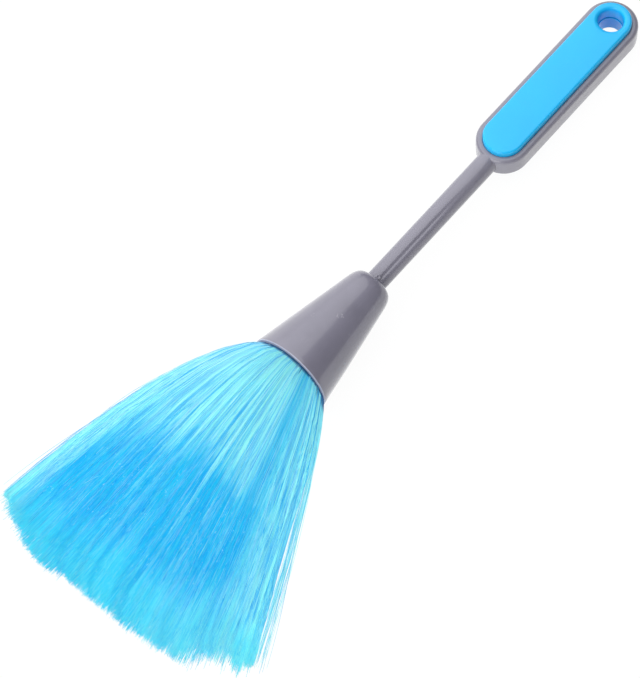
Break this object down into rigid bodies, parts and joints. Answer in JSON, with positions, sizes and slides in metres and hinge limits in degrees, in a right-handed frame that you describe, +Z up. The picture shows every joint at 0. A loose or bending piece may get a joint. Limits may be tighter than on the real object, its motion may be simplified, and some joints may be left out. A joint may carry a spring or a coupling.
{
  "type": "cleaning brush",
  "caption": "Hand brush for keyboards: flat paddle handle with inlaid panels and a hanging hole, slim rod, cone ferrule and a soft fan of bristles.",
  "frame": {"origin": "middle of the footprint, on the table that the brush lies on", "axes": "+X along the brush from the bristles to the handle's end, +Z up through the front panel; the axis falls about 3 degrees to the handle, as the brush lies on its ferrule rim and handle end"},
  "size_m": [0.2374, 0.093, 0.026],
  "materials": {
    "handle": "satin grey moulded plastic",
    "inlay": "satin light blue moulded plastic",
    "ferrule": "satin grey moulded plastic",
    "glue": "set glue",
    "band": "white plastic band",
    "bristles": "soft light blue nylon filament"
  },
  "bodies": {
    "root": {"handle_body": "handle", "front_inlay": "inlay", "rear_inlay": "inlay", "ferrule": "ferrule", "glue_plug": "glue", "root_band": "band", "bristles_upper_right": "bristles", "bristles_upper_left": "bristles", "bristles_lower_right": "bristles", "bristles_lower_left": "bristles"}
  },
  "joints": []
}
